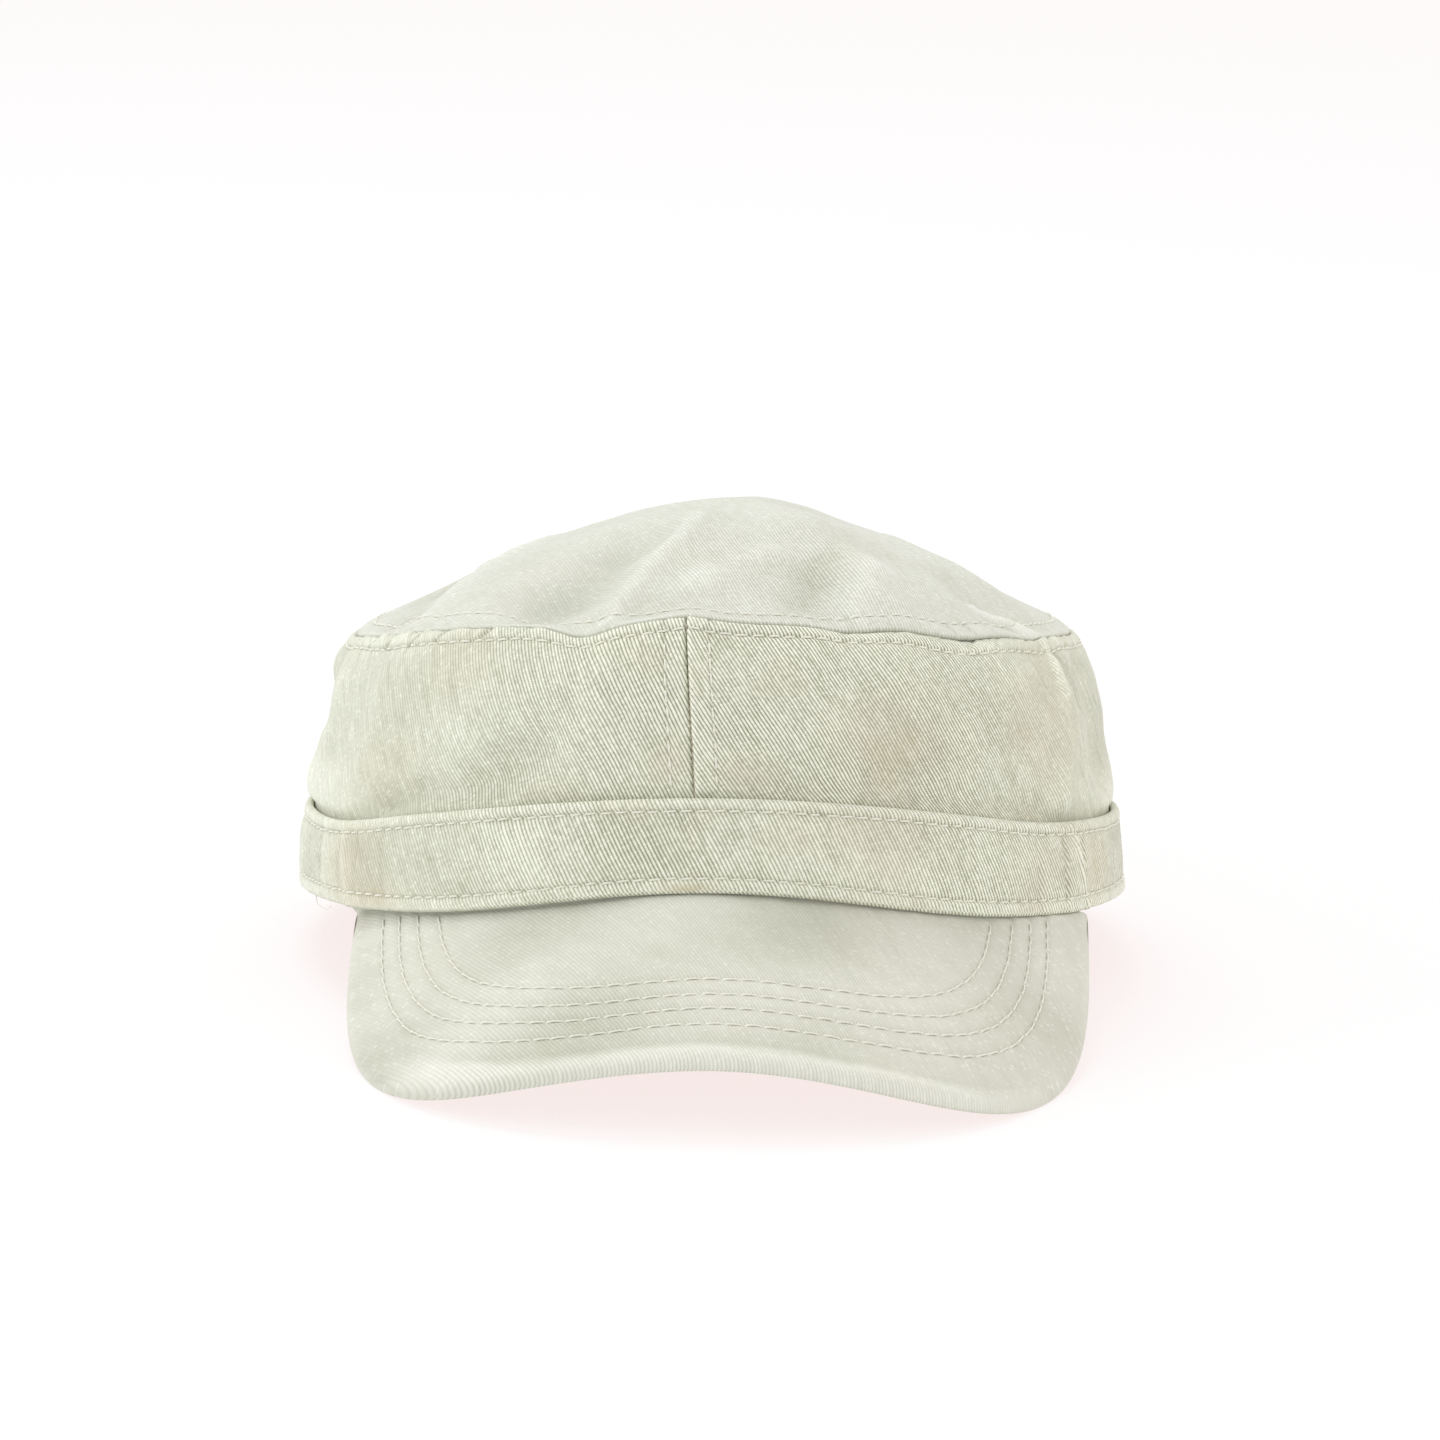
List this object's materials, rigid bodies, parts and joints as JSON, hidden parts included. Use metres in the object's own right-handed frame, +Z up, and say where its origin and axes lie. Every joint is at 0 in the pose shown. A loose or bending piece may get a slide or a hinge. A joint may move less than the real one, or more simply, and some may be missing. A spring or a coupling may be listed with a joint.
{
  "type": "cadet cap",
  "caption": "Soft flat-topped cadet cap of washed cotton twill with a turned-up band, a topstitched front seam and a stiff curved peak.",
  "frame": {"origin": "on the surface that the cap lies on, under the middle of its overall box", "axes": "+Z up, the peak towards -Y, +X to the wearer's left, which is the right side seen from the front"},
  "size_m": [0.1816, 0.245, 0.1007],
  "materials": {
    "twill_crown": "washed cotton twill, matt",
    "twill_side": "washed cotton twill, matt",
    "twill_band": "washed cotton twill, matt",
    "twill_peak": "washed cotton twill over a stiffener, matt"
  },
  "bodies": {
    "root": {"crown_top": "twill_crown", "side_panel_left": "twill_side", "side_panel_right": "twill_side", "band": "twill_band", "peak": "twill_peak"}
  },
  "joints": []
}
